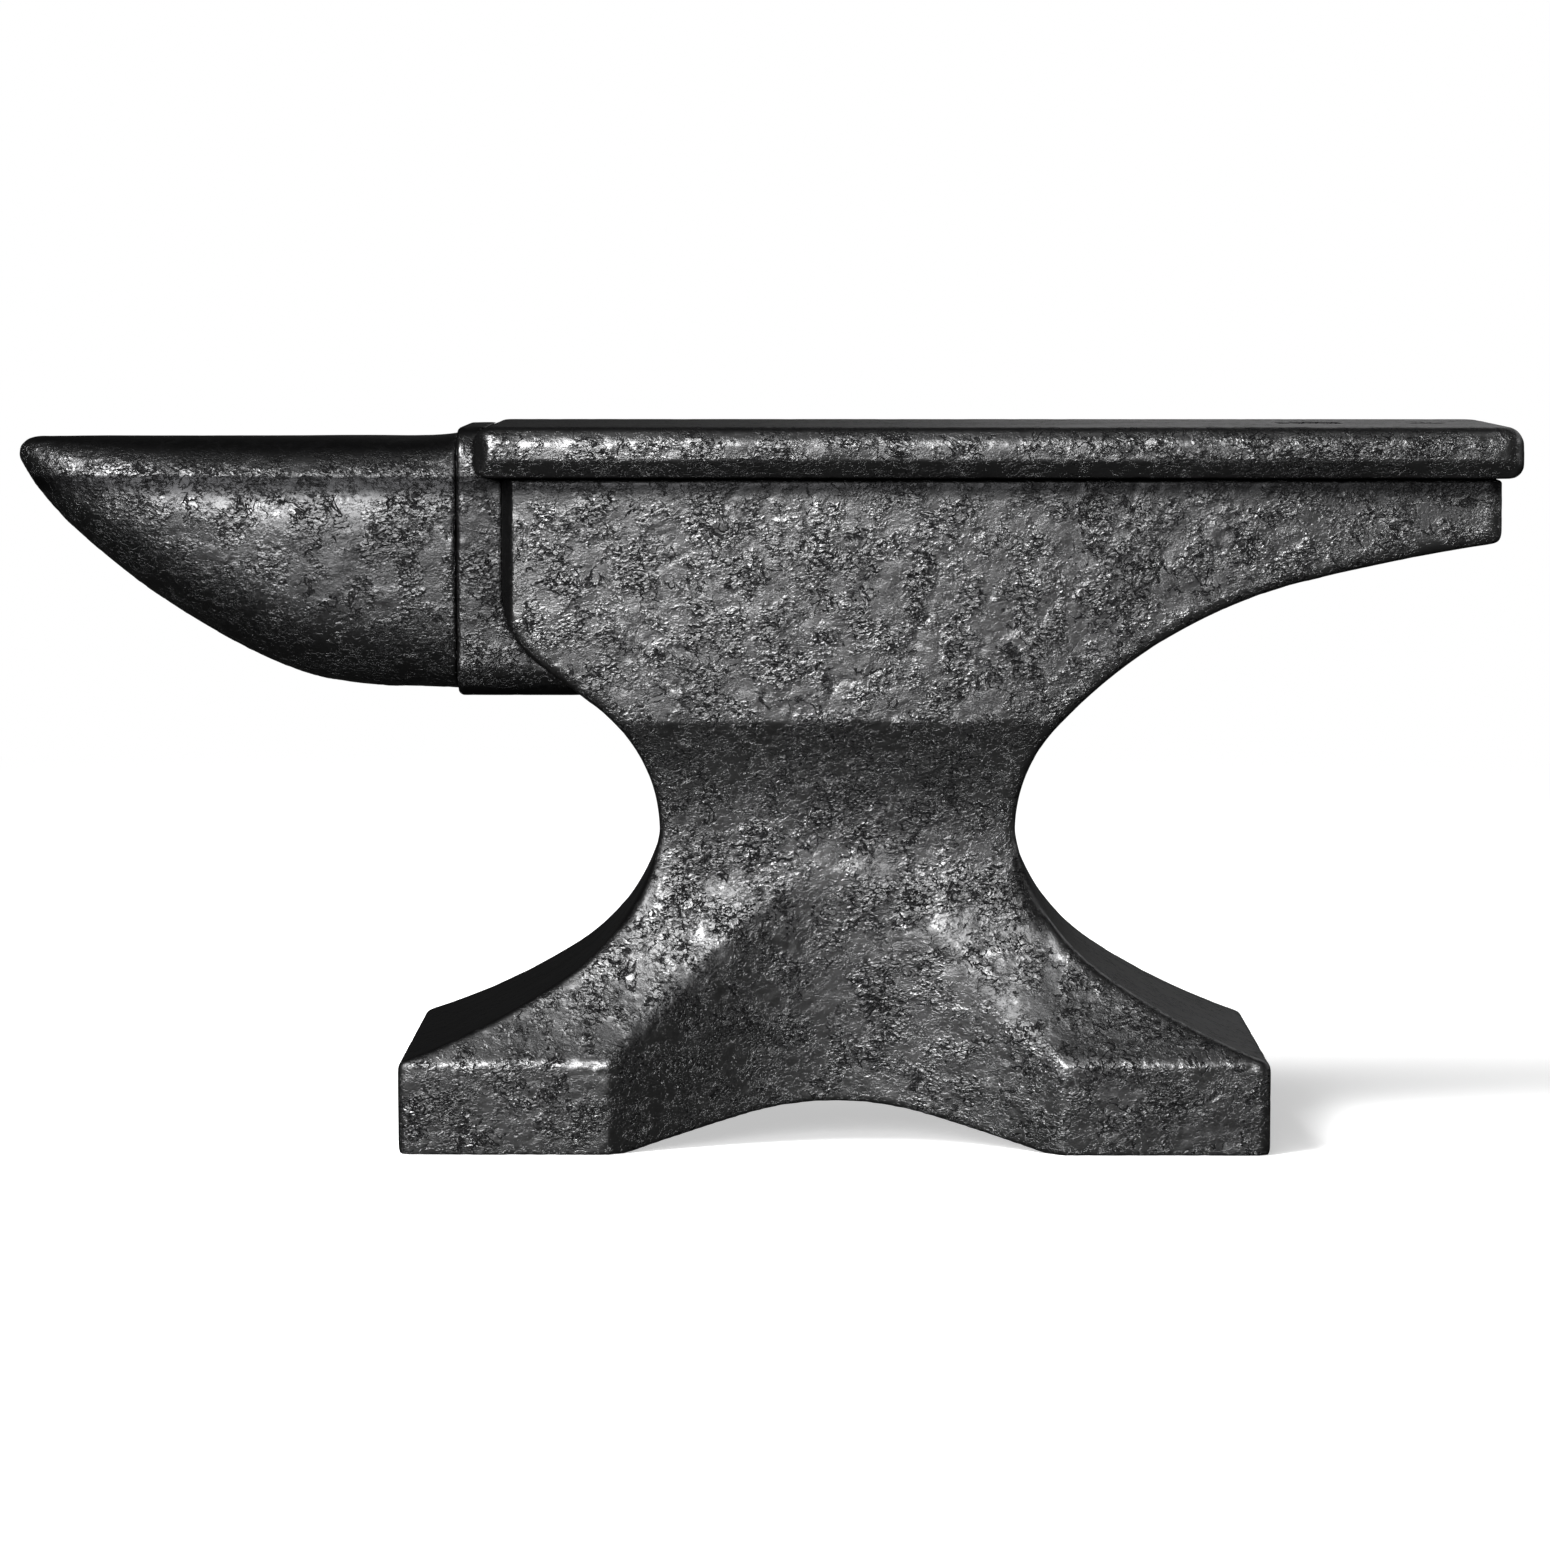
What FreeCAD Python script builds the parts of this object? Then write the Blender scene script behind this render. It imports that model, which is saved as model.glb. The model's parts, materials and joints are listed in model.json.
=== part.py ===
"""Blacksmith's anvil of about 85 kg, built up from separate forgings.

+Z is up, the horn points along -X and the heel along +X. The origin is on the floor, under
the middle of the anvil's box. All sizes are millimetres.

A blank of the whole body is made first. Its front half is the side outline run across the
anvil, common with half of the end outline run along it, with its outside corners rounded
and the niche between the feet cut out; the rear half mirrors it. The forgings of the body
are the stretches of that blank between the weld planes, so their skins run flush. The face
plate, the horn and the horn's collar are made on their own.
"""
import FreeCAD, Part
import math
import os

import Sketcher

doc = FreeCAD.newDocument("anvil")
sizes = doc.addObject("Spreadsheet::Sheet", "Sizes")

DRIVING_SIZES = {
    # face plate: x runs from plate_left to plate_right
    "top_height": 301.7, "plate_thickness": 21.8, "plate_left": -119, "plate_right": 316.1,
    "plate_width": 134, "plate_corner": 9, "plate_top_round": 8, "plate_bottom_round": 6,
    # tool holes in the heel
    "hardy_side": 25.4, "hardy_corner": 1.5, "hardy_x": 232,
    "pritchel_bore": 16, "pritchel_x": 282,
    # upper body, seen from the side
    "body_left": -107.8, "body_right": 307.5, "body_width": 120,
    "shoulder_height": 233.3, "shoulder_radius": 38, "throat_slope": 37.5,
    "heel_curve_x": 127.2, "heel_curve_height": 180, "heel_curve_radius": 205,
    "heel_root_x": 229.7, "heel_root_height": 238, "heel_tip_radius": 790,
    "heel_tip_height": 253.4,
    # waist
    "waist_height": 132, "waist_left": -42.5, "waist_right": 106.6, "waist_radius": 66,
    "crease_height": 178.6, "flank_radius": 160,
    # base and its four feet
    "base_left": -150.8, "base_right": 212.2, "base_width": 160, "foot_height": 38.5,
    "end_curve_run": 39.5, "end_curve_height": 71.8,
    "end_upper_radius": 90, "end_lower_radius": 300,
    "foot_left_inner": -63.3, "foot_right_inner": 124.5,
    "arch_middle": 31.6, "arch_rise": 18.3, "arch_radius": 150, "arch_half_crown": 40,
    "arch_half_span": 87,
    "niche_radius": 174, "niche_depth": 27.5,
    "edge_round": 4,
    # horn and its collar
    "horn_tip": -316.1, "horn_root": -127.2, "horn_top": 297.7, "horn_bottom": 189.6,
    "horn_width": 92,
    "collar_top": 301, "collar_bottom": 188, "collar_width": 96, "collar_corner": 14,
    "collar_edge_round": 2.5,
    # hidden joints between the forgings
    "tenon_diameter": 40, "tenon_height": 227, "tenon_reach": 44,
    "boss_diameter": 50, "boss_height": 16, "weld_height": 127,
    "scarf_top_x": 130, "scarf_low_x": 175, "scarf_low_height": 192,
}

for row, (alias, value) in enumerate(DRIVING_SIZES.items(), start=1):
    sizes.set(f"A{row}", alias)
    sizes.set(f"B{row}", str(value))
    sizes.setAlias(f"B{row}", alias)
doc.recompute()

LEFT, RIGHT = "left", "right"
NEAR = 0.5  # what lies closer than this to a line or face counts as lying on it


def size(alias):
    """The number in the sheet's cell of that name."""
    return float(sizes.get(alias))


def bind(item, **expressions):
    """Bind properties of a document object to expressions in the sheet's names.

    A name's double underscore stands for the dot of a nested property."""
    for name, expression in expressions.items():
        item.setExpression(name.replace("__", "."), in_sheet(expression))
    return item


def in_sheet(expression):
    """The same expression with each of the sheet's names written in full."""
    words = []
    for word in str(expression).split():
        words.append(f"Sizes.{word}" if word in DRIVING_SIZES else word)
    return " ".join(words)


def make(kind, name, **expressions):
    """A document object with its sizes and placement bound to the sheet."""
    return bind(doc.addObject(kind, name), **expressions)


# --- sketched outlines -----------------------------------------------------------------

def arc_centre(start, end, radius, side):
    """Centre of the shorter arc from start to end, which lies to that side of the travel."""
    chord = end - start
    middle = start + chord * 0.5
    across = FreeCAD.Vector(-chord.y, chord.x, 0).normalize()
    if side == RIGHT:
        across = across * -1
    return middle + across * math.sqrt(radius ** 2 - (chord.Length / 2) ** 2)


def outline(sketch, corners):
    """Draw a closed outline whose corners and radii are all bound to the sheet.

    Each corner is (x, y) or (x, y, radius, side): with a radius, the edge that leaves the
    corner is an arc with its centre to that side of the travel."""
    def value(expression):
        return float(sketch.evalExpression(in_sheet(expression)))

    points = [FreeCAD.Vector(value(corner[0]), value(corner[1]), 0) for corner in corners]
    ends = []
    for number, corner in enumerate(corners):
        start = points[number]
        end = points[(number + 1) % len(points)]
        if len(corner) == 2:
            edge = sketch.addGeometry(Part.LineSegment(start, end), False)
            ends.append((edge, 1, 2))
            continue
        radius, side = value(corner[2]), corner[3]
        centre = arc_centre(start, end, radius, side)
        angles = [math.atan2(p.y - centre.y, p.x - centre.x) for p in (start, end)]
        if side == RIGHT:
            angles.reverse()
        circle = Part.Circle(centre, FreeCAD.Vector(0, 0, 1), radius)
        edge = sketch.addGeometry(Part.ArcOfCircle(circle, *angles), False)
        ends.append((edge, 1, 2) if side == LEFT else (edge, 2, 1))
        bound = sketch.addConstraint(Sketcher.Constraint("Radius", edge, radius))
        sketch.renameConstraint(bound, f"radius_{number}")
        sketch.setExpression(f"Constraints.radius_{number}", in_sheet(corner[2]))
    for number, corner in enumerate(corners):
        edge, start_point, _ = ends[number]
        previous, _, end_point = ends[number - 1]
        sketch.addConstraint(
            Sketcher.Constraint("Coincident", previous, end_point, edge, start_point))
        for axis, expression, distance in (
                ("X", corner[0], points[number].x), ("Y", corner[1], points[number].y)):
            bound = sketch.addConstraint(
                Sketcher.Constraint("Distance" + axis, -1, 1, edge, start_point, distance))
            name = f"{axis.lower()}_{number}"
            sketch.renameConstraint(bound, name)
            sketch.setExpression(f"Constraints.{name}", in_sheet(expression))


def sketched_body(name, plane, corners, length):
    """A PartDesign body: one outline on an origin plane, padded equally both ways."""
    body = doc.addObject("PartDesign::Body", name)
    sketch = body.newObject("Sketcher::SketchObject", f"{name}_outline")
    origin_plane = next(item for item in body.Origin.OriginFeatures if item.Role == plane)
    sketch.AttachmentSupport = [(origin_plane, "")]
    sketch.MapMode = "FlatFace"
    outline(sketch, corners)
    pad = body.newObject("PartDesign::Pad", f"{name}_pad")
    pad.Profile = sketch
    pad.Midplane = True
    bind(pad, Length=length)
    sketch.Visibility = False
    doc.recompute()
    return body


# --- the blank of the whole body --------------------------------------------------------

ACROSS_ALL = "base_width * 2"  # wider than every piece
ALONG_ALL = "( body_right - base_left ) * 2"  # longer than the whole body
PLATE_BASE = "top_height - plate_thickness"
SHOULDER_X = "body_left + shoulder_radius"
THROAT_X = "waist_left - waist_radius"
LOW_ARCH = "arch_rise - arch_radius + sqrt( arch_radius ^ 2 - arch_half_crown ^ 2 )"

SIDE_OUTLINE = [
    ("body_left", PLATE_BASE),
    ("body_left", "shoulder_height", "shoulder_radius", LEFT),
    (f"{SHOULDER_X} - shoulder_radius * sin( throat_slope * 1 deg )",
     "shoulder_height - shoulder_radius * cos( throat_slope * 1 deg )"),
    (f"{THROAT_X} + waist_radius * sin( throat_slope * 1 deg )",
     "waist_height + waist_radius * cos( throat_slope * 1 deg )", "waist_radius", RIGHT),
    ("waist_left", "waist_height", "end_upper_radius", RIGHT),
    ("waist_left - end_curve_run", "end_curve_height", "end_lower_radius", RIGHT),
    ("base_left", "foot_height"),
    ("base_left", "0"),
    ("arch_middle - arch_half_span", "0"),
    ("arch_middle - arch_half_crown", LOW_ARCH, "arch_radius", RIGHT),
    ("arch_middle + arch_half_crown", LOW_ARCH),
    ("arch_middle + arch_half_span", "0"),
    ("base_right", "0"),
    ("base_right", "foot_height", "end_lower_radius", RIGHT),
    ("waist_right + end_curve_run", "end_curve_height", "end_upper_radius", RIGHT),
    ("waist_right", "waist_height", "waist_radius", RIGHT),
    ("heel_curve_x", "heel_curve_height", "heel_curve_radius", RIGHT),
    ("heel_root_x", "heel_root_height", "heel_tip_radius", RIGHT),
    ("body_right", "heel_tip_height"),
    ("body_right", PLATE_BASE),
]

HALF_END_OUTLINE = [
    ("0", PLATE_BASE),
    ("body_width / -2", PLATE_BASE),
    ("body_width / -2", "crease_height", "flank_radius", RIGHT),
    ("base_width / -2", "foot_height"),
    ("base_width / -2", "0"),
    ("0", "0"),
]


def boolean(kind, name, base, tool):
    """A Part::Common, Part::Cut or Part::Fuse of two objects of the document."""
    result = doc.addObject(kind, name)
    result.Base = base
    result.Tool = tool
    doc.recompute()
    return result


def rounded(name, base, radius, chosen):
    """The base with rounded edges: chosen(edge) says whether an edge is one of them."""
    result = doc.addObject("Part::Fillet", name)
    result.Base = base
    result.Edges = [(number, size(radius), size(radius))
                    for number, edge in enumerate(base.Shape.Edges, start=1) if chosen(edge)]
    doc.recompute()
    return result


def mirrored(name, source):
    """The source mirrored in the anvil's middle plane."""
    result = doc.addObject("Part::Mirroring", name)
    result.Source = source
    result.Normal = FreeCAD.Vector(0, 1, 0)
    doc.recompute()
    return result


def middle_of(edge):
    """The point halfway along an edge."""
    return edge.valueAt((edge.FirstParameter + edge.LastParameter) / 2)


def runs_along(edge, axis):
    """Whether an edge is a straight one along that axis, which is "x", "y" or "z"."""
    first, last = edge.Vertexes[0].Point, edge.Vertexes[-1].Point
    others = [name for name in "xyz" if name != axis]
    return all(abs(getattr(first, name) - getattr(last, name)) < NEAR for name in others)


def lengthwise(edge):
    """Whether an edge is a straight one along the anvil."""
    return runs_along(edge, "x")


def upright(edge):
    """Whether an edge is a straight one from bottom to top."""
    return runs_along(edge, "z")


def on_outside_corner(edge):
    """Whether an edge of the half blank is one that dressing and wear have rounded."""
    middle = middle_of(edge)
    plate_base = size("top_height") - size("plate_thickness")
    if middle.z < NEAR or middle.z > plate_base - NEAR or middle.y > -NEAR:
        return False
    if runs_along(edge, "y"):
        on_foot_top = abs(middle.z - size("foot_height")) < NEAR
        return on_foot_top or middle.x > size("body_right") - NEAR
    between_feet = size("foot_left_inner") < middle.x < size("foot_right_inner")
    on_crease = abs(middle.z - size("crease_height")) < NEAR
    in_arch = middle.z < size("arch_rise") + NEAR
    return not (between_feet and (on_crease or in_arch))


def on_plate_top(edge):
    """Whether an edge of the slab lies in its top face."""
    return middle_of(edge).z > size("top_height") - NEAR


def on_plate_underside(edge):
    """Whether an edge of the slab lies in its underside."""
    return middle_of(edge).z < size("top_height") - size("plate_thickness") + NEAR


def on_horn_face(edge):
    """Whether an edge of the collar lies in the face that meets the horn."""
    return middle_of(edge).x < size("horn_root") + NEAR


side_run = sketched_body("side_run", "XZ_Plane", SIDE_OUTLINE, ACROSS_ALL)
end_run = sketched_body("end_run", "YZ_Plane", HALF_END_OUTLINE, ALONG_ALL)
half_blank = boolean("Part::Common", "half_blank", side_run, end_run)
dressed_half = rounded("dressed_half", half_blank, "edge_round", on_outside_corner)

niche = make("Part::Cylinder", "niche", Radius="niche_radius", Height="waist_height",
             Placement__Base__x="arch_middle",
             Placement__Base__y="base_width / -2 + niche_depth - niche_radius")
front_half = boolean("Part::Cut", "front_half", dressed_half, niche)
rear_half = mirrored("rear_half", front_half)
blank = boolean("Part::Fuse", "blank", front_half, rear_half)
blank.Refine = False  # the two halves keep their own faces
doc.recompute()

# --- face plate and the tool holes through the heel --------------------------------------

slab = make("Part::Box", "slab", Length="plate_right - plate_left", Width="plate_width",
            Height="plate_thickness", Placement__Base__x="plate_left",
            Placement__Base__y="plate_width / -2", Placement__Base__z=PLATE_BASE)
doc.recompute()
slab = rounded("slab_corners", slab, "plate_corner", upright)
slab = rounded("slab_top", slab, "plate_top_round", on_plate_top)
slab = rounded("slab_underside", slab, "plate_bottom_round", on_plate_underside)

hardy_box = make("Part::Box", "hardy_box", Length="hardy_side", Width="hardy_side",
                 Height="top_height", Placement__Base__x="hardy_x - hardy_side / 2",
                 Placement__Base__y="hardy_side / -2", Placement__Base__z="plate_thickness")
doc.recompute()
hardy_hole = rounded("hardy_hole", hardy_box, "hardy_corner", upright)
pritchel_hole = make("Part::Cylinder", "pritchel_hole", Radius="pritchel_bore / 2",
                     Height="top_height", Placement__Base__x="pritchel_x",
                     Placement__Base__z="plate_thickness")
doc.recompute()
tool_holes = boolean("Part::Fuse", "tool_holes", hardy_hole, pritchel_hole)
face_plate = boolean("Part::Cut", "face_plate", slab, tool_holes)

# --- joints between the forgings ----------------------------------------------------------

tenon = make("Part::Cylinder", "tenon", Radius="tenon_diameter / 2", Height="tenon_reach",
             Placement__Base__x="horn_root", Placement__Base__z="tenon_height")
tenon.Placement.Rotation = FreeCAD.Rotation(FreeCAD.Vector(0, 0, 1), FreeCAD.Vector(1, 0, 0))
boss = make("Part::Cylinder", "boss", Radius="boss_diameter / 2",
            Height="boss_height + weld_height / 2", Placement__Base__x="arch_middle",
            Placement__Base__z="weld_height / 2")
heel_region = sketched_body("heel_region", "XZ_Plane", [
    ("scarf_top_x", PLATE_BASE),
    ("scarf_low_x", "scarf_low_height"),
    ("plate_right", "scarf_low_height"),
    ("plate_right", PLATE_BASE),
], ACROSS_ALL)


def region(name, left, right, front, rear, bottom, top):
    """A box between six planes, to take one forging out of the blank."""
    return make("Part::Box", name, Length=f"( {right} ) - ( {left} )",
                Width=f"( {rear} ) - ( {front} )", Height=f"( {top} ) - ( {bottom} )",
                Placement__Base__x=left, Placement__Base__y=front, Placement__Base__z=bottom)


# --- forgings of the body -------------------------------------------------------------------

upper_region = region("upper_region", "base_left", "plate_right", "base_width * -1",
                      "base_width", "weld_height", PLATE_BASE)
middle_region = region("middle_region", "foot_left_inner", "foot_right_inner",
                       "base_width * -1", "base_width", "0", "weld_height")
doc.recompute()

upper_body = boolean("Part::Common", "upper_body", blank, upper_region)
shouldered = boolean("Part::Cut", "shouldered", upper_body, heel_region)
socketed = boolean("Part::Cut", "socketed", shouldered, tenon)
body_core = boolean("Part::Cut", "body_core", socketed, boss)

plain_heel = boolean("Part::Common", "plain_heel", blank, heel_region)
heel_block = boolean("Part::Cut", "heel_block", plain_heel, tool_holes)

lower_body = boolean("Part::Common", "lower_body", blank, middle_region)
base_core = boolean("Part::Fuse", "base_core", lower_body, boss)

feet = []
for end, left, right in (("left", "base_left", "foot_left_inner"),
                         ("right", "foot_right_inner", "base_right")):
    corner = region(f"corner_{end}", left, right, "base_width * -1", "0", "0", "weld_height")
    doc.recompute()
    front_foot = boolean("Part::Common", f"foot_front_{end}", blank, corner)
    feet += [front_foot, mirrored(f"foot_rear_{end}", front_foot)]

# --- horn and its collar ----------------------------------------------------------------------

# Sections of the horn from root to tip: how far along it the section stands, and its drop
# from the horn's top line, height and width as shares of the root's; the last number is the
# section's squareness, 2 for an ellipse and more for a rounder box.
HORN_SECTIONS = [
    (0.000, 0.000, 1.000, 1.000, 4.4),
    (0.060, 0.013, 0.982, 0.985, 4.2),
    (0.180, 0.014, 0.977, 0.978, 3.8),
    (0.360, 0.014, 0.925, 0.935, 3.2),
    (0.540, 0.014, 0.783, 0.835, 2.8),
    (0.700, 0.014, 0.610, 0.695, 2.6),
    (0.840, 0.014, 0.418, 0.505, 2.4),
    (0.930, 0.015, 0.265, 0.335, 2.2),
    (0.980, 0.027, 0.135, 0.175, 2.0),
    (0.999, 0.060, 0.045, 0.055, 2.0),
]
SECTION_POINTS = 32


def horn_section(share, drop, height_share, width_share, squareness):
    """One closed section across the horn, a superellipse drawn through a ring of points."""
    x = size("horn_root") + share * (size("horn_tip") - size("horn_root"))
    root_height = size("horn_top") - size("horn_bottom")
    half_height = root_height * height_share / 2
    half_width = size("horn_width") * width_share / 2
    middle_z = size("horn_top") - drop * root_height - half_height
    ring = []
    for step in range(SECTION_POINTS):
        turn = 2 * math.pi * step / SECTION_POINTS
        across = math.copysign(abs(math.cos(turn)) ** (2 / squareness), math.cos(turn))
        up = math.copysign(abs(math.sin(turn)) ** (2 / squareness), math.sin(turn))
        ring.append(FreeCAD.Vector(x, half_width * across, middle_z + half_height * up))
    curve = Part.BSplineCurve()
    curve.interpolate(Points=ring, PeriodicFlag=True)
    return Part.Wire(curve.toShape())


beak = doc.addObject("Part::Feature", "beak")
beak.Shape = Part.makeLoft([horn_section(*section) for section in HORN_SECTIONS], True)
horn = boolean("Part::Fuse", "horn", beak, tenon)

collar_block = make("Part::Box", "collar_block", Length="arch_middle - horn_root",
                    Width="collar_width", Height="collar_top - collar_bottom",
                    Placement__Base__x="horn_root", Placement__Base__y="collar_width / -2",
                    Placement__Base__z="collar_bottom")
doc.recompute()
collar_block = rounded("collar_corners", collar_block, "collar_corner", lengthwise)
collar_block = rounded("collar_rim", collar_block, "collar_edge_round", on_horn_face)
for neighbour in (blank, slab, tenon):
    collar_block = boolean("Part::Cut", f"collar_past_{neighbour.Name}", collar_block, neighbour)
horn_collar = collar_block
horn_collar.Label = "horn_collar"

# --- check and write -----------------------------------------------------------------------------

doc.recompute()
failed = [item.Name for item in doc.Objects if {"Invalid", "Error"} & set(item.State)]
assert not failed, f"failed objects: {failed}"

LEAST_FILLED = 0.98  # the sockets and tool holes take less than the rest of the blank
body_forgings = [body_core, heel_block, base_core, *feet]
filled = sum(forging.Shape.Volume for forging in body_forgings) / blank.Shape.Volume
assert LEAST_FILLED < filled < 1, f"the body's forgings fill {filled:.3f} of the blank"

forgings = [face_plate, horn, horn_collar, *body_forgings]
os.makedirs("parts", exist_ok=True)
for forging in forgings:
    shape = forging.Shape
    assert not shape.isNull() and shape.isValid(), forging.Label
    print(forging.Label, len(shape.Solids), round(shape.Volume))
    shape.exportStep(f"parts/{forging.Label}.step")
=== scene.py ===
"""Looks of a blacksmith's anvil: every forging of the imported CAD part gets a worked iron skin.

Each CAD node is replaced by one piece of the same name with "_forging" after it. The mesh of
a piece is the node's own shape on an even, fine grid, with its corners eased, broad hammer
marks, a scale that lifts in flakes, pits and chipped edges, all as real relief. Grain finer
than the grid is in the material. Lengths are metres, in the frame of the part: +Z up, horn to
-X, heel to +X.
"""

import itertools
import json
import math

import bmesh
import bpy
import numpy as np
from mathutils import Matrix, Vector


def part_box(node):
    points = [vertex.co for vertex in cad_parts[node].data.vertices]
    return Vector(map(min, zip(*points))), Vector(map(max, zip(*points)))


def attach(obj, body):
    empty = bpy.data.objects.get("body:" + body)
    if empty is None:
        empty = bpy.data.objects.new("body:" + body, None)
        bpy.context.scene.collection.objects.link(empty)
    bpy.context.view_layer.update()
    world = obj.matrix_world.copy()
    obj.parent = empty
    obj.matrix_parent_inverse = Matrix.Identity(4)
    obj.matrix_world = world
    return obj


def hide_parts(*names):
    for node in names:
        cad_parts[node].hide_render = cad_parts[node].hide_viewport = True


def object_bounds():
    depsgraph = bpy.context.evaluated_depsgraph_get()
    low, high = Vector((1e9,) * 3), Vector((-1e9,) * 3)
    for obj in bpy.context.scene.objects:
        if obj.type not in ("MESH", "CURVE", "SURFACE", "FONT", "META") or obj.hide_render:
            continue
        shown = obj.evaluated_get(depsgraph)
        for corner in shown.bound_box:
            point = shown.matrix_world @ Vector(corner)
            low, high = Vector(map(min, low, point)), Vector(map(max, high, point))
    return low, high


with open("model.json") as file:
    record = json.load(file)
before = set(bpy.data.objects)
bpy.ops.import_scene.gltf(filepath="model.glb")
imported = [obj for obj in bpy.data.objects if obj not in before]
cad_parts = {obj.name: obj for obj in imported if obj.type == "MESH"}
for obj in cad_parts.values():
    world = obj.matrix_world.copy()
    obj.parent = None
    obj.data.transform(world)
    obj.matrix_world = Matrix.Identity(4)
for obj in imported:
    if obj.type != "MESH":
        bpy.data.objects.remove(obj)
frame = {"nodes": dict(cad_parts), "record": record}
cad_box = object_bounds()

MM = 0.001
GRAZE = 0.5 * MM  # what lies closer than this to a plane counts as lying on it

# Boxes of the CAD nodes, and the welds between them.
low, high = {}, {}
for node in frame["nodes"]:
    low[node], high[node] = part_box(node)
left_weld = high["foot_front_left"].x
right_weld = low["foot_front_right"].x
waist_weld = low["body_core"].z
plate_underside = low["face_plate"].z
scarf_top = Vector((low["heel_block"].x, 0, high["heel_block"].z))
scarf_low = Vector((high["body_core"].x, 0, low["heel_block"].z))
along_scarf = scarf_low - scarf_top
scarf_out = Vector((-along_scarf.z, 0, along_scarf.x))  # points towards the heel

# Pieces that are welded flush share one skin, which is cut along the welds afterwards.
BODY_NODES = ["body_core", "heel_block", "base_core",
              "foot_front_left", "foot_front_right", "foot_rear_left", "foot_rear_right"]
COARSER = 1.0
BODY_GRID = 1.25 * MM * COARSER
PLATE_GRID = 1.1 * MM * COARSER
HORN_GRID = 1.0 * MM * COARSER
COLLAR_GRID = 0.9 * MM * COARSER


# --- noise in space -----------------------------------------------------------------------

TABLE = 256


def hash_table(seed):
    """A shuffled table of numbers, and a random direction and random point for each."""
    draw = np.random.default_rng(seed)
    order = draw.permutation(TABLE)
    directions = draw.normal(size=(TABLE, 3))
    directions /= np.linalg.norm(directions, axis=1)[:, None]
    return order, directions, draw.random((TABLE, 3))


def hashed(order, cells):
    """The table entry that belongs to each cell of the lattice."""
    first = order[cells[:, 0] % TABLE]
    second = order[(first + cells[:, 1]) % TABLE]
    return order[(second + cells[:, 2]) % TABLE]


def gradient_noise(points, wavelength, seed):
    """Smooth noise between about -1 and 1, with lumps about half a wavelength across."""
    order, directions, _ = hash_table(seed)
    places = points / wavelength
    cells = np.floor(places).astype(int)
    inside = places - cells
    fade = inside ** 3 * (inside * (inside * 6 - 15) + 10)
    total = np.zeros(len(points))
    for corner in itertools.product((0, 1), repeat=3):
        slopes = directions[hashed(order, cells + corner)]
        share = np.prod(np.where(corner, fade, 1 - fade), axis=1)
        total += share * ((inside - corner) * slopes).sum(axis=1)
    return total * 1.6


def fractal_noise(points, wavelength, octaves, seed, keep=0.55):
    """Noise with finer and finer lumps added, each keep times as high as the last."""
    total, height, full = 0.0, 1.0, 0.0
    for octave in range(octaves):
        total = total + height * gradient_noise(points, wavelength / 2 ** octave, seed + octave)
        full += height
        height *= keep
    return total / full


def spot_noise(points, spacing, seed):
    """Distance from each point to the nearest of scattered spots, in shares of the spacing."""
    order, _, offsets = hash_table(seed)
    places = points / spacing
    cells = np.floor(places).astype(int)
    nearest = np.full(len(points), 9.0)
    for step in itertools.product((-1, 0, 1), repeat=3):
        cell = cells + step
        spot = cell + offsets[hashed(order, cell)]
        nearest = np.minimum(nearest, ((places - spot) ** 2).sum(axis=1))
    return np.sqrt(nearest)


def rise(values, low, high):
    """0 below low, 1 above high and a smooth slope between them."""
    share = np.clip((values - low) / (high - low), 0, 1)
    return share * share * (3 - 2 * share)


# --- meshes -------------------------------------------------------------------------------

def joined_copy(name, nodes):
    """A new object with the meshes of these CAD nodes in it."""
    work = bmesh.new()
    for node in nodes:
        work.from_mesh(frame["nodes"][node].data)
    mesh = bpy.data.meshes.new(name)
    work.to_mesh(mesh)
    work.free()
    piece = bpy.data.objects.new(name, mesh)
    bpy.context.scene.collection.objects.link(piece)
    return piece


def settled(piece):
    """Apply the piece's modifiers to its mesh."""
    graph = bpy.context.evaluated_depsgraph_get()
    mesh = bpy.data.meshes.new_from_object(piece.evaluated_get(graph), depsgraph=graph)
    piece.modifiers.clear()
    piece.data = mesh


def even_grid(piece, spacing, smoothing):
    """Rebuild the piece's surface as even squares, with its corners eased."""
    remesh = piece.modifiers.new("even_grid", "REMESH")
    remesh.mode = "VOXEL"
    remesh.voxel_size = spacing
    remesh.use_smooth_shade = True
    smooth = piece.modifiers.new("eased", "SMOOTH")
    smooth.factor = 0.5
    smooth.iterations = smoothing
    settled(piece)


def coordinates(mesh):
    """The place of every vertex, one row each."""
    places = np.zeros(len(mesh.vertices) * 3)
    mesh.vertices.foreach_get("co", places)
    return places.reshape(-1, 3)


def normals(mesh):
    """The outward direction at every vertex, one row each."""
    directions = np.zeros(len(mesh.vertices) * 3, np.float32)
    mesh.vertex_normals.foreach_get("vector", directions)
    return directions.reshape(-1, 3).astype(float)


def store(mesh, name, values):
    """Keep one number, or one vector, for each vertex under that name."""
    kind, field = ("FLOAT", "value") if values.ndim == 1 else ("FLOAT_VECTOR", "vector")
    layer = mesh.attributes.new(name, kind, "POINT")
    layer.data.foreach_set(field, values.astype(np.float32).ravel())


def edge_ends(mesh):
    """The two vertices of every edge, one row each."""
    ends = np.zeros(len(mesh.edges) * 2, np.int32)
    mesh.edges.foreach_get("vertices", ends)
    return ends.reshape(-1, 2)


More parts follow.
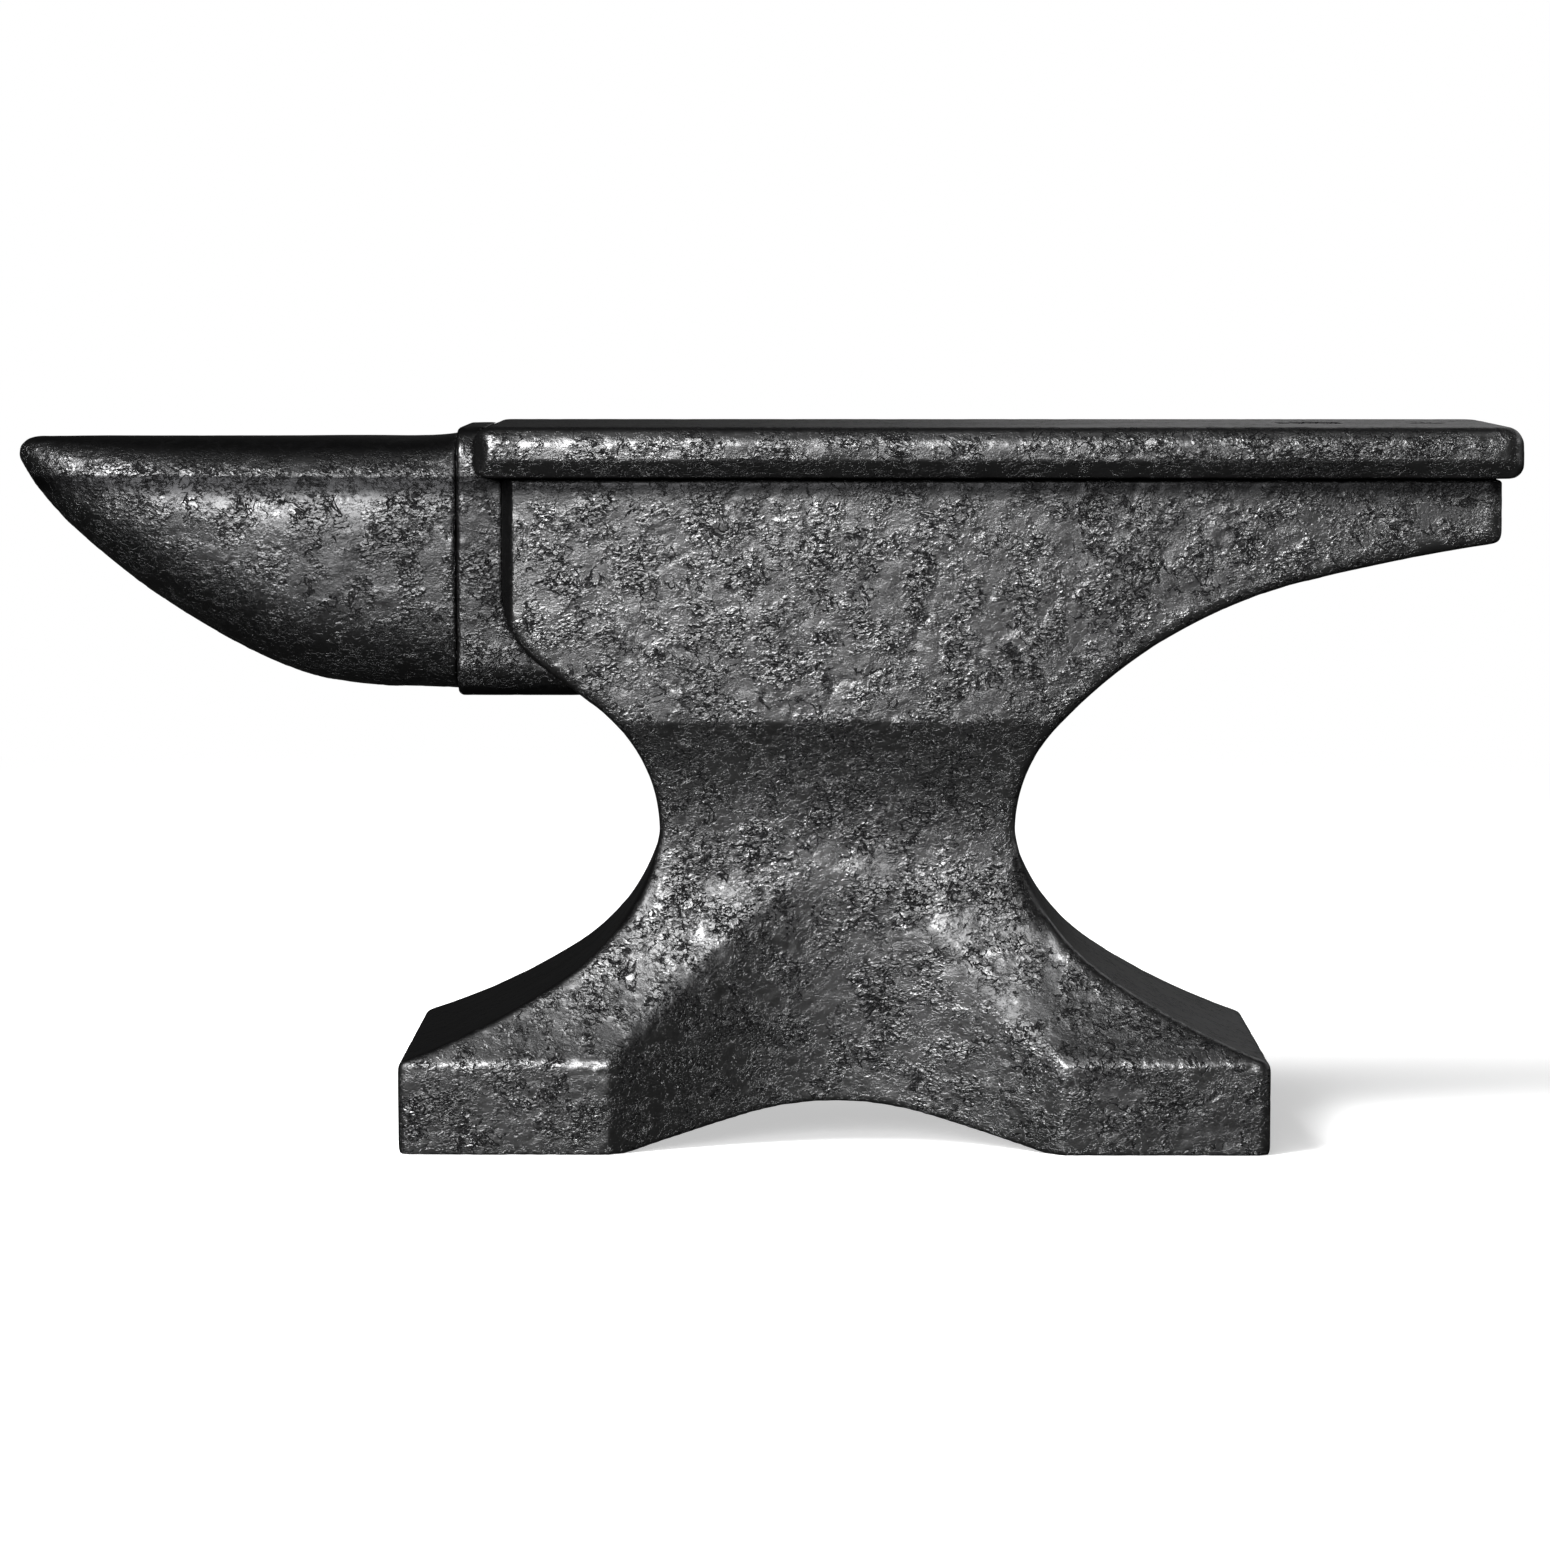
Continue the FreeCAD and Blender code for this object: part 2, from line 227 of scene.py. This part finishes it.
def averaged(values, ends, rounds):
    """Each row of values moved to the mean of its neighbours, round after round."""
    count = len(values)
    sources = np.concatenate([ends[:, 1], ends[:, 0]])
    targets = np.concatenate([ends[:, 0], ends[:, 1]])
    near = np.maximum(np.bincount(targets, minlength=count), 1)
    for _ in range(rounds):
        columns = [np.bincount(targets, values[sources, k], count) / near
                   for k in range(values.shape[1])]
        values = np.stack(columns, axis=1)
    return values


EDGE_REACH = 3.5 * MM  # how far from a corner the wear reaches
EDGE_FULL = 0.22 * MM  # a corner that stands out this much from its surroundings is a sharp one
PLATE_SHADOW_REACH = 12 * MM  # how far the painted shadow reaches down the body from under the plate's overhang
HAMMER_DEPTH = 0.16 * MM
FLAKE_STEP = 0.13 * MM
PIT_DEPTH = 0.22 * MM
NICK_DEPTH = 0.28 * MM
SINK = 0.12 * MM  # lowers the whole skin, so that its highest flakes stand about level with the CAD


def work_surface(piece, spacing, seed, roughness, waviness, dressed):
    """Raise the forged relief on a piece, and keep what the material needs as attributes.

    roughness scales the flakes and pits, and waviness the hammer marks. dressed(directions)
    gives, for each vertex, how far the smith ground the surface smooth: 0 for raw skin and 1
    for a dressed face."""
    mesh = piece.data
    places = coordinates(mesh)
    directions = normals(mesh)
    ends = edge_ends(mesh)
    rounds = max(2, round((EDGE_REACH / spacing) ** 2))
    settled_places = averaged(places, ends, rounds)
    stand_out = ((places - settled_places) * directions).sum(axis=1)
    edge = np.clip(stand_out / EDGE_FULL, 0, 1)
    # painted shade: where the surface is concave, in creases and inner corners, the colour is
    # darkened
    painted_shade = np.clip(-stand_out / EDGE_FULL, 0, 1)
    # painted shadow: the body just below the plate's overhang is darkened as if in the plate's shade
    under_plate = plate_underside - places[:, 2]
    plate_shadow = 1 - rise(under_plate, 0.3 * PLATE_SHADOW_REACH, PLATE_SHADOW_REACH)
    painted_shade = np.maximum(painted_shade, plate_shadow * (under_plate > -GRAZE))
    smooth = averaged(dressed(directions)[:, None], ends, rounds)[:, 0]
    raw = 1 - smooth

    hammered = gradient_noise(places, 52 * MM, seed) + 0.5 * gradient_noise(places, 21 * MM, seed + 1)
    patch = rise(fractal_noise(places, 60 * MM, 3, seed + 2), -0.12, 0.22)
    scale_field = fractal_noise(places, 17 * MM, 4, seed + 3, keep=0.62)
    flakes = rise(scale_field, 0.02, 0.06) + 0.8 * rise(scale_field, 0.20, 0.25)
    spots = spot_noise(places, 5.2 * MM, seed + 11)
    pits = rise(-spots, -0.44, -0.16) * patch
    nicks = rise(gradient_noise(places, 9 * MM, seed + 12), 0.16, 0.5) * edge

    relief = hammered * HAMMER_DEPTH * waviness * (0.35 + 0.65 * raw)
    relief += flakes * FLAKE_STEP * roughness * raw
    relief -= pits * PIT_DEPTH * roughness * (0.12 + 0.88 * raw)
    relief -= nicks * NICK_DEPTH * (0.4 + 0.6 * raw)
    relief -= SINK
    places = places + directions * relief[:, None]
    mesh.vertices.foreach_set("co", places.astype(np.float32).ravel())
    mesh.update()
    for name, values in (("edge_wear", edge), ("painted_shade", painted_shade), ("dressed", smooth)):
        store(mesh, name, values)


def keep_side(work, point, outward):
    """Cut a closed mesh with a plane, drop what lies outside it and close the cut flat."""
    cut = bmesh.ops.bisect_plane(
        work, geom=work.verts[:] + work.edges[:] + work.faces[:], dist=1e-7,
        plane_co=point, plane_no=outward, clear_outer=True)
    rim = [item for item in cut["geom_cut"] if isinstance(item, bmesh.types.BMEdge)]
    if rim:
        cap = bmesh.ops.triangle_fill(work, edges=rim, use_beauty=True)
        for item in cap["geom"]:
            if isinstance(item, bmesh.types.BMFace):
                item.smooth = False
                item.normal_update()
                if item.normal.dot(outward) < 0:
                    item.normal_flip()


def shade_as_uncut(mesh):
    """Give the skin of a cut piece the normals that it had when it was whole.

    The cuts are welds that the smith dressed flush, so the shading runs on across them."""
    kept = np.zeros(len(mesh.vertices) * 3, np.float32)
    mesh.attributes["whole_normal"].data.foreach_get("vector", kept)
    corner_vertex = np.zeros(len(mesh.loops), np.int32)
    mesh.loops.foreach_get("vertex_index", corner_vertex)
    on_skin = np.zeros(len(mesh.polygons), bool)
    mesh.polygons.foreach_get("use_smooth", on_skin)
    corners = np.zeros(len(mesh.polygons), np.int32)
    mesh.polygons.foreach_get("loop_total", corners)
    wanted = kept.reshape(-1, 3)[corner_vertex] * np.repeat(on_skin, corners)[:, None]
    mesh.normals_split_custom_set(wanted.tolist())
    mesh.attributes.remove(mesh.attributes["whole_normal"])


def cut_piece(name, source, planes):
    """A new object: the part of source that lies behind every (point, outward) plane."""
    work = bmesh.new()
    work.from_mesh(source.data)
    for point, outward in planes:
        keep_side(work, Vector(point), Vector(outward))
    mesh = bpy.data.meshes.new(name)
    work.to_mesh(mesh)
    work.free()
    shade_as_uncut(mesh)
    piece = bpy.data.objects.new(name, mesh)
    bpy.context.scene.collection.objects.link(piece)
    return piece


# --- where the raw skin is and where it is dressed ----------------------------------------

def dressed_but_flanks(directions):
    """The flanks keep the raw skin; the working face, ends and feet tops are drawn smooth."""
    return 1 - rise(np.abs(directions[:, 1]), 0.45, 0.85)


def dressed_along_top(directions):
    """Raw round the sides and rubbed smooth along the top, as on a horn."""
    return rise(directions[:, 2], 0.50, 0.95)


# --- rims, corners and painted shade ------------------------------------------------------

NICHE_RIM_LOW = 0.32  # shares of the waist weld's height between which the rim is eased
NICHE_RIM_HIGH = 0.90
RIM_EASE = 7.5 * MM
RIM_FADE = 0.18  # share of the height over which the easing comes in and goes out
RIM_PAINTED_SHADE = 0.65  # how dark the painted shade on the rim is, from 0 to 1; it dims the rim's highlight
FEET_PAINTED_SHADE = 0.45  # the same for the painted shade on what faces up on the feet


def ease_niche_rim(piece, spacing):
    """Round the upper rim of the niches between the feet, where the hammer worked them in.

    Returns how far each vertex belongs to the rim, from 0 to 1."""
    mesh = piece.data
    places = coordinates(mesh)
    rounds = round((RIM_EASE / spacing) ** 2)
    eased = averaged(places, edge_ends(mesh), rounds)
    share = places[:, 2] / waist_weld
    weight = rise(share, NICHE_RIM_LOW - RIM_FADE, NICHE_RIM_LOW + RIM_FADE)
    weight *= 1 - rise(share, NICHE_RIM_HIGH - RIM_FADE, NICHE_RIM_HIGH + RIM_FADE)
    weight *= rise(places[:, 0], left_weld, left_weld + 8 * MM)
    weight *= 1 - rise(places[:, 0], right_weld - 8 * MM, right_weld)
    moves = (eased - places) * weight[:, None]
    places += moves
    mesh.vertices.foreach_set("co", places.astype(np.float32).ravel())
    mesh.update()
    return rise(np.linalg.norm(moves, axis=1), 0.1 * MM, 0.6 * MM)


def shade_on_feet_tops(mesh):
    """How much painted shade each vertex gets: the low parts of the base are darkened where they face
    up.
    """
    facing_up = rise(normals(mesh)[:, 2], 0.15, 0.50)
    return facing_up * (1 - rise(coordinates(mesh)[:, 2], 0.8 * waist_weld, waist_weld))


def paint_shade(mesh, amounts):
    """Make the skin at least this dark at each vertex, as painted shade."""
    layer = mesh.attributes["painted_shade"].data
    before = np.zeros(len(mesh.vertices), np.float32)
    layer.foreach_get("value", before)
    layer.foreach_set("value", np.maximum(before, amounts).astype(np.float32))


CUT_RUN_OUT = 6 * MM  # a cut that starts part of the way up comes in over twice this height
WHOLE_HEIGHT = -1.0  # the start of a cut that runs from the very bottom


def pare_corners(piece, cuts):
    """Cut long corners of a piece back to flats, alike on the front and the rear.

    Each cut is a point on the flat, the flat's outward direction, both for the rear, and the
    height from which the cut runs upwards."""
    mesh = piece.data
    places = coordinates(mesh)
    side = np.where(places[:, 1] < 0, -1.0, 1.0)
    places[:, 1] *= side
    for point, outward, start in cuts:
        outward = np.array(outward) / np.linalg.norm(outward)
        over = np.maximum((places - np.array(point)) @ outward, 0)
        over *= rise(places[:, 2], start - CUT_RUN_OUT, start + CUT_RUN_OUT)
        places -= over[:, None] * outward
    places[:, 1] *= side
    mesh.vertices.foreach_set("co", places.astype(np.float32).ravel())
    mesh.update()


def left_corner_cut(node, run, depth, start):
    """The flat on the two upright corners at the left end of a node."""
    point = (low[node].x, high[node].y - depth, 0)
    return point, (-depth, run, 0), start


def lower_corner_cut(node, height, depth):
    """The flat along the lower corners of a node's flanks."""
    point = (0, high[node].y - depth, low[node].z)
    return point, (0, height, -depth), WHOLE_HEIGHT


# --- build the pieces ---------------------------------------------------------------------

# The body and the plate are cut back where the collar meets them, and the plate is drawn in
# towards its underside.
BODY_CORNER_CUT = left_corner_cut("body_core", 5 * MM, 8 * MM, low["horn_collar"].z)
CORNER_CUTS = {
    "face_plate": [left_corner_cut("face_plate", 6.5 * MM, 9 * MM, WHOLE_HEIGHT),
                   lower_corner_cut("face_plate", 7.5 * MM, 5.5 * MM)],
}

body = joined_copy("body_skin", BODY_NODES)
even_grid(body, BODY_GRID, 6)
niche_rim = ease_niche_rim(body, BODY_GRID)
pare_corners(body, [BODY_CORNER_CUT])
feet_shade = shade_on_feet_tops(body.data)
work_surface(body, BODY_GRID, 100, 1.0, 1.0, dressed_but_flanks)
# painted shade: the niche rims and the up-facing low parts of the feet are darkened in the colour
paint_shade(body.data, np.maximum(RIM_PAINTED_SHADE * niche_rim, FEET_PAINTED_SHADE * feet_shade))
store(body.data, "whole_normal", normals(body.data))

ORIGIN = (0, 0, 0)
LEFT, RIGHT, FRONT, REAR, UP, DOWN = ((-1, 0, 0), (1, 0, 0), (0, -1, 0), (0, 1, 0),
                                      (0, 0, 1), (0, 0, -1))
above_waist = ((0, 0, waist_weld), DOWN)
below_waist = ((0, 0, waist_weld), UP)
BODY_CUTS = {
    "body_core": [above_waist, (scarf_top, scarf_out)],
    "heel_block": [above_waist, (scarf_top, -scarf_out)],
    "base_core": [below_waist, ((left_weld, 0, 0), LEFT), ((right_weld, 0, 0), RIGHT)],
    "foot_front_left": [((left_weld, 0, 0), RIGHT), below_waist, (ORIGIN, REAR)],
    "foot_rear_left": [((left_weld, 0, 0), RIGHT), below_waist, (ORIGIN, FRONT)],
    "foot_front_right": [((right_weld, 0, 0), LEFT), below_waist, (ORIGIN, REAR)],
    "foot_rear_right": [((right_weld, 0, 0), LEFT), below_waist, (ORIGIN, FRONT)],
}
pieces = {}
for node, planes in BODY_CUTS.items():
    pieces[node] = cut_piece(f"{node}_forging", body, planes)
bpy.data.objects.remove(body)

# The pieces that have a skin each: grid, rounds of smoothing, seed, depth of the hammer marks,
# and where they are dressed.
OWN_SKINS = {
    "face_plate": (PLATE_GRID, 4, 200, 0.45, dressed_but_flanks),
    "horn": (HORN_GRID, 3, 300, 0.7, dressed_along_top),
    "horn_collar": (COLLAR_GRID, 2, 400, 0.8, dressed_but_flanks),
}
OWN_ROUGHNESS = 0.9
for node, (spacing, smoothing, seed, waviness, dressed) in OWN_SKINS.items():
    piece = joined_copy(f"{node}_forging", [node])
    even_grid(piece, spacing, smoothing)
    pare_corners(piece, CORNER_CUTS.get(node, []))
    work_surface(piece, spacing, seed, OWN_ROUGHNESS, waviness, dressed)
    pieces[node] = piece


# --- material -----------------------------------------------------------------------------

class Nodes:
    """A short way to write a node tree: each call adds a node and links its inputs."""

    def __init__(self, tree):
        self.tree = tree

    def add(self, kind, settings=None, **inputs):
        """A new node with these settings, and these values or links on its inputs."""
        node = self.tree.nodes.new(kind)
        for name, value in (settings or {}).items():
            setattr(node, name, value)
        for name, value in inputs.items():
            self.feed(node.inputs[name.replace("_", " ")], value)
        return node

    def feed(self, socket, value):
        """Link an output to the socket, or set a plain value on it."""
        if isinstance(value, bpy.types.NodeSocket):
            self.tree.links.new(value, socket)
        else:
            socket.default_value = value

    def maths(self, operation, first, second=0.0):
        """The result of one sum on two values or outputs."""
        node = self.tree.nodes.new("ShaderNodeMath")
        node.operation = operation
        self.feed(node.inputs[0], first)
        self.feed(node.inputs[1], second)
        return node.outputs[0]

    def noise(self, place, wavelength, detail, roughness=0.55, distortion=0.0):
        """Noise from 0 to 1 with lumps of about this size."""
        node = self.add("ShaderNodeTexNoise", Vector=place, Scale=1 / wavelength, Detail=detail,
                        Roughness=roughness, Distortion=distortion)
        return node.outputs["Fac"]

    def spread(self, value, low, high, new_low=0.0, new_high=1.0):
        """The value eased from the range low..high to new_low..new_high, and held at its ends."""
        node = self.add("ShaderNodeMapRange", {"interpolation_type": "SMOOTHSTEP"}, Value=value,
                        From_Min=low, From_Max=high, To_Min=new_low, To_Max=new_high)
        return node.outputs["Result"]

    def kept(self, name):
        """What work_surface stored on the mesh under this name."""
        node = self.add("ShaderNodeAttribute", {"attribute_name": name})
        return node.outputs["Fac"]

    def stretched(self, place, factors):
        """The place with each of its coordinates multiplied."""
        node = self.add("ShaderNodeVectorMath", {"operation": "MULTIPLY"})
        self.feed(node.inputs[0], place)
        node.inputs[1].default_value = factors
        return node.outputs["Vector"]


GRAZING = (0.55, 0.55, 0.55)  # forge scale stays dull at a grazing angle, unlike clean metal


# The finest relief, in millimetres.
GRAIN_HEIGHTS = (0.08, 0.36)  # between the clusters, and in them
FINE_GRAIN = 0.04
CRUST_STEP = 0.07
PINHOLE_DEPTH = 0.24
CRACK_DEPTH = 0.35
WRINKLE_DEPTH = 0.26
STREAK_HEIGHT = 0.05


def winding_lines(make, field, reach, core):
    """1 on thin lines, where the field passes 0.5, and 0 beside them."""
    off_line = make.maths("ABSOLUTE", make.maths("SUBTRACT", field, 0.5))
    return make.spread(off_line, reach, core)


def skin_marks(make, place):
    """The marks in forge scale, each a pattern from 0 to 1 without height or colour."""
    marks = {}

    # Grain and pits lie flat and are stronger in clusters, with smoother stretches between.
    marks["grain"] = make.noise(make.stretched(place, (1.0, 1.0, 1.5)), 1.7 * MM, 2, 0.55, 0.4)
    marks["fine"] = make.noise(place, 0.75 * MM, 1, 0.5)
    marks["cluster"] = make.spread(make.noise(place, 15 * MM, 4, 0.6), 0.42, 0.58)
    pitted = make.noise(make.stretched(place, (0.8, 1.0, 1.5)), 2.3 * MM, 2, 0.5, 0.6)
    often = make.spread(marks["cluster"], 0.0, 1.0, 0.20, 1.0)
    marks["pits"] = make.maths("MULTIPLY", make.spread(pitted, 0.43, 0.35), often)

    # Cracks are thin winding lines, cut into short stretches.
    lines = winding_lines(make, make.noise(place, 10 * MM, 4, 0.6, 0.5), 0.022, 0.006)
    cracked = make.spread(make.noise(place, 14 * MM, 2), 0.52, 0.58)
    marks["cracks"] = make.maths("MULTIPLY", lines, cracked)

    # Wrinkles are the same on a small scale, close together in the clusters.
    curling = make.noise(make.stretched(place, (0.8, 1.0, 1.3)), 4.2 * MM, 3, 0.55, 0.7)
    lines = winding_lines(make, curling, 0.030, 0.010)
    marks["wrinkles"] = make.maths("MULTIPLY", lines, marks["cluster"])

    # The crust has come off in places, with a step round each bare spot.
    marks["crust"] = make.spread(make.noise(place, 11 * MM, 7, 0.68, 0.3), 0.485, 0.50)

    # Streaks run across the anvil on what is dressed.
    marks["streaks"] = make.noise(make.stretched(place, (1.0, 0.04, 1.0)), 1.8 * MM, 3, 0.6)
    return marks


def skin_height(make, marks, dressed, raw):
    """The height of the finest relief, in millimetres."""
    grain_height = make.spread(marks["cluster"], 0.0, 1.0, *GRAIN_HEIGHTS)
    height = make.maths("MULTIPLY", marks["grain"], grain_height)
    for mark, rises in (("fine", FINE_GRAIN), ("crust", CRUST_STEP), ("pits", -PINHOLE_DEPTH),
                        ("cracks", -CRACK_DEPTH), ("wrinkles", -WRINKLE_DEPTH)):
        height = make.maths("ADD", height, make.maths("MULTIPLY", marks[mark], rises))
    height = make.maths("MULTIPLY", height, make.spread(raw, 0.0, 1.0, 0.05, 1.0))
    streaked = make.maths("MULTIPLY", marks["streaks"], dressed)
    return make.maths("ADD", height, make.maths("MULTIPLY", streaked, STREAK_HEIGHT))


def bare_metal(make, place, edge):
    """How much metal the wear lays bare: in broad patches, on small spots and along edges."""
    bare = make.spread(make.noise(place, 40 * MM, 4, 0.6), 0.30, 0.66, 0.45, 0.75)
    polished = make.spread(make.noise(place, 7 * MM, 3, 0.6), 0.58, 0.66)
    rubbed = make.maths("MULTIPLY", edge, make.spread(make.noise(place, 5 * MM, 4), 0.35, 0.6))
    bare = make.maths("ADD", bare, make.maths("MULTIPLY", polished, 0.65))
    return make.maths("ADD", bare, make.maths("MULTIPLY", rubbed, 0.25))


def iron(name, dark, bright, gloss, offset):
    """Worked black iron: dark scale, pitted and finely cracked, with rubbed metal showing.

    dark and bright are the scale's and the rubbed metal's grey, gloss is the plain skin's
    roughness, and offset moves the pattern from piece to piece."""
    material = bpy.data.materials.new(name)
    material.use_nodes = True
    tree = material.node_tree
    tree.nodes.clear()
    make = Nodes(tree)
    where = make.add("ShaderNodeTexCoord").outputs["Object"]
    moved = make.add("ShaderNodeVectorMath", {"operation": "ADD"})
    make.feed(moved.inputs[0], where)
    moved.inputs[1].default_value = offset
    place = moved.outputs["Vector"]

    edge, painted_shade, dressed = (make.kept(k) for k in ("edge_wear", "painted_shade", "dressed"))
    raw = make.maths("SUBTRACT", 1.0, dressed)
    marks = skin_marks(make, place)
    bump = make.add("ShaderNodeBump", Strength=1.0, Distance=1.0 * MM,
                    Height=skin_height(make, marks, dressed, raw))

    # Bare metal is seen least in the marks, under the painted shade and on dressed faces. The painted
    # shade darkens concave creases, the body under the plate's overhang, the niche rims and the feet
    # tops.
    sunk = make.maths("MAXIMUM", marks["cracks"], marks["wrinkles"])
    sunk = make.maths("MAXIMUM", sunk, marks["pits"])
    shown = make.maths("MULTIPLY", bare_metal(make, place, edge), make.maths("SUBTRACT", 1.0, sunk))
    shown = make.maths("MULTIPLY", shown, make.maths("SUBTRACT", 1.0, painted_shade))
    shown = make.maths("MULTIPLY", shown, make.spread(raw, 0.0, 1.0, 0.15, 1.0))
    colour = make.add("ShaderNodeMix", {"data_type": "RGBA"})
    make.feed(colour.inputs[0], shown)
    colour.inputs[6].default_value = (*dark, 1)
    colour.inputs[7].default_value = (*bright, 1)

    rough = make.spread(shown, 0.0, 1.0, gloss + 0.08, gloss - 0.06)
    rough = make.maths("ADD", rough, make.maths("MULTIPLY", sunk, 0.15))
    shader = make.add("ShaderNodeBsdfPrincipled", Base_Color=colour.outputs[2], Roughness=rough,
                      Normal=bump.outputs["Normal"], Metallic=1.0)
    shader.inputs["Specular Tint"].default_value = (*GRAZING, 1)
    output = make.add("ShaderNodeOutputMaterial")
    tree.links.new(shader.outputs["BSDF"], output.inputs["Surface"])
    return material


MATERIALS = {
    "forged_iron": iron("forged_iron_skin", (0.03, 0.03, 0.031), (0.33, 0.33, 0.332), 0.34,
                        (0, 0, 0)),
    "face_steel": iron("face_steel_skin", (0.03, 0.03, 0.031), (0.26, 0.26, 0.262), 0.37,
                       (3, 1, 2)),
    # painted shade: the horn's rubbed metal is a darker grey than the body's, to hold back how
    # brightly the lamps light its round form
    "horn_iron": iron("horn_iron_skin", (0.028, 0.028, 0.029), (0.155, 0.155, 0.157), 0.34,
                      (7, 5, 1)),
}
slot_of = {entry["node"]: entry["material_slot"] for entry in frame["record"]["subparts"]}
for node, piece in pieces.items():
    piece.data.materials.clear()
    piece.data.materials.append(MATERIALS[slot_of[node]])
    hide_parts(node)
    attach(piece, "root")


# --- floor, light and camera --------------------------------------------------------------

scene = bpy.context.scene
scene.view_settings.view_transform = "Standard"
centre = (cad_box[0] + cad_box[1]) / 2

BACKDROP = 1.0  # how bright the paper behind the anvil is
FLOOR_SHADE = 0.52  # how bright the floor is where no lamp reaches it, near the anvil
FLOOR_TINT = 0.8  # share of a lamp's light that the floor gives back, near the anvil
STUDIO_DIM = 0.035  # how bright the studio is that the iron mirrors
FLOOR_HALF = 12.0
FADE_START, FADE_END = 0.6, 1.8  # over this distance the floor turns into the backdrop

floor_mesh = bpy.data.meshes.new("floor")
floor_mesh.from_pydata([(-FLOOR_HALF, -FLOOR_HALF, 0), (FLOOR_HALF, -FLOOR_HALF, 0),
                        (FLOOR_HALF, FLOOR_HALF, 0), (-FLOOR_HALF, FLOOR_HALF, 0)],
                       [], [(0, 1, 2, 3)])
floor = bpy.data.objects.new("floor", floor_mesh)
scene.collection.objects.link(floor)
paper = bpy.data.materials.new("pale_floor")
paper.use_nodes = True
sheet = Nodes(paper.node_tree)
paper_shader = paper.node_tree.nodes["Principled BSDF"]
distance = sheet.add("ShaderNodeVectorMath", {"operation": "LENGTH"})
sheet.feed(distance.inputs[0], sheet.add("ShaderNodeTexCoord").outputs["Object"])
glow = sheet.spread(distance.outputs["Value"], FADE_START, FADE_END, FLOOR_SHADE, BACKDROP)
tint = sheet.spread(distance.outputs["Value"], FADE_START, FADE_END, FLOOR_TINT, 0.0)
sheet.feed(paper_shader.inputs["Emission Strength"], glow)
sheet.feed(paper_shader.inputs["Base Color"], tint)
paper_shader.inputs["Emission Color"].default_value = (1, 1, 1, 1)
paper_shader.inputs["Roughness"].default_value = 1.0
paper_shader.inputs["Specular IOR Level"].default_value = 0.0
floor_mesh.materials.append(paper)
floor.visible_glossy = False
floor.visible_diffuse = False

world = bpy.data.worlds.new("studio")
scene.world = world
world.use_nodes = True
studio = Nodes(world.node_tree)
world.node_tree.nodes.clear()
seen = studio.add("ShaderNodeBackground", Color=(1, 1, 1, 1), Strength=BACKDROP)
dim = studio.add("ShaderNodeBackground", Color=(1, 1, 1, 1), Strength=STUDIO_DIM)
eye_ray = studio.add("ShaderNodeLightPath").outputs["Is Camera Ray"]
either = studio.add("ShaderNodeMixShader")
studio.feed(either.inputs[0], eye_ray)
studio.feed(either.inputs[1], dim.outputs[0])
studio.feed(either.inputs[2], seen.outputs[0])
sky_out = studio.add("ShaderNodeOutputWorld")
studio.feed(sky_out.inputs["Surface"], either.outputs[0])


def soft_light(name, azimuth, elevation, distance, width, height, power):
    """A rectangular soft box that faces the anvil's middle.

    The azimuth is counted from straight in front, positive to the anvil's right. Angles are in
    degrees, lengths in metres and the power in watts."""
    turn, lift = math.radians(azimuth), math.radians(elevation)
    towards = Vector((math.sin(turn) * math.cos(lift), -math.cos(turn) * math.cos(lift),
                      math.sin(lift)))
    lamp = bpy.data.lights.new(name, "AREA")
    lamp.shape = "RECTANGLE"
    lamp.size, lamp.size_y = width, height
    lamp.energy = power
    holder = bpy.data.objects.new(name, lamp)
    holder.location = centre + towards * distance
    holder.rotation_mode = "QUATERNION"
    holder.rotation_quaternion = (-towards).to_track_quat("-Z", "Y")
    scene.collection.objects.link(holder)
    return holder


def shine_only_on(lamp, name, objects):
    """Let a lamp light nothing but these objects."""
    receivers = bpy.data.collections.new(name)
    for item in objects:
        receivers.objects.link(item)
    lamp.light_linking.receiver_collection = receivers


soft_light("key", -44, 34, 2.4, 0.7, 0.7, 30)
soft_light("front_box", -20, 18, 2.6, 1.9, 0.7, 51)

# The rear, the right end and the top get weaker lights, which leave the floor alone.
for fill in (soft_light("rear_box", 150, 28, 2.6, 2.4, 1.0, 20),
             soft_light("side_box", 100, 18, 2.6, 1.4, 1.0, 5),
             soft_light("top_box", 0, 80, 2.6, 2.0, 1.2, 2.5)):
    shine_only_on(fill, f"{fill.name}_receivers", pieces.values())

# This one lights only the floor, so that the anvil's shadow falls to its right.
floor_lamp = soft_light("floor_lamp", -60, 45, 2.6, 1.3, 1.3, 170)
shine_only_on(floor_lamp, "floor_only", [floor])

# The camera stands in front of the anvil, a little above its face, and looks slightly down.
CAMERA_PLACE = (24.7 * MM, -2214 * MM, 361.9 * MM)
CAMERA_AIM = (-0.00861, 0.99546, -0.09476)
CAMERA_LENS = 120.77  # millimetres, on a sensor 36 mm wide
camera_data = bpy.data.cameras.new("camera")
camera_data.lens = CAMERA_LENS
camera_data.sensor_width = 36
camera = bpy.data.objects.new("camera", camera_data)
camera.location = CAMERA_PLACE
camera.rotation_mode = "QUATERNION"
camera.rotation_quaternion = Vector(CAMERA_AIM).to_track_quat("-Z", "Y")
scene.collection.objects.link(camera)
scene.camera = camera
